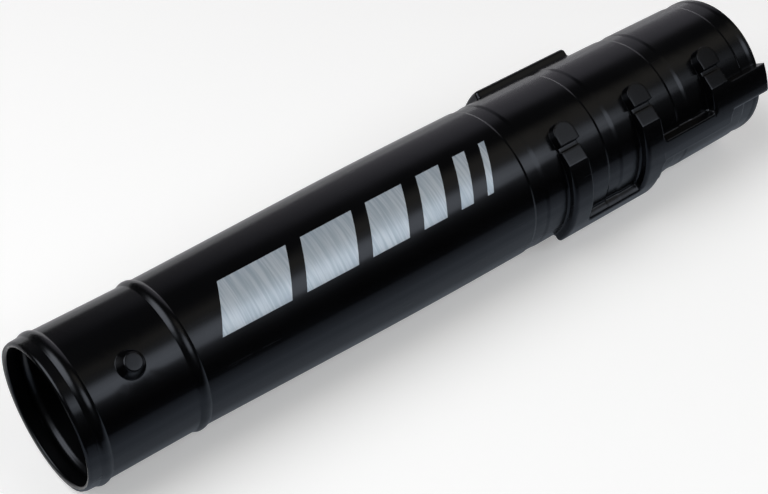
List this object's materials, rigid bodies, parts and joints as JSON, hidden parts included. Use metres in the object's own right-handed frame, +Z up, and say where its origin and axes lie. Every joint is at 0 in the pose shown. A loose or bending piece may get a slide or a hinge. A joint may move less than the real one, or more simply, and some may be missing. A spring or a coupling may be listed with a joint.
{
  "type": "leaf blower nozzle tube",
  "caption": "Hollow tapered plastic air tube with round outlet lugs, neck rings, lock pockets, twist slots and a stepped entry channel that lock it to a garden blower in length stages.",
  "frame": {"origin": "on the ground below the middle of the tube, which lies on its barrel", "axes": "+X along the tube's axis from the outlet mouth to the inlet end, +Z up"},
  "size_m": [0.4124, 0.0876, 0.0786],
  "materials": {
    "black_plastic": "black blow-moulded polyethylene, satin gloss with a fine mould grain"
  },
  "bodies": {
    "root": {"nozzle_tube": "black_plastic"}
  },
  "joints": []
}
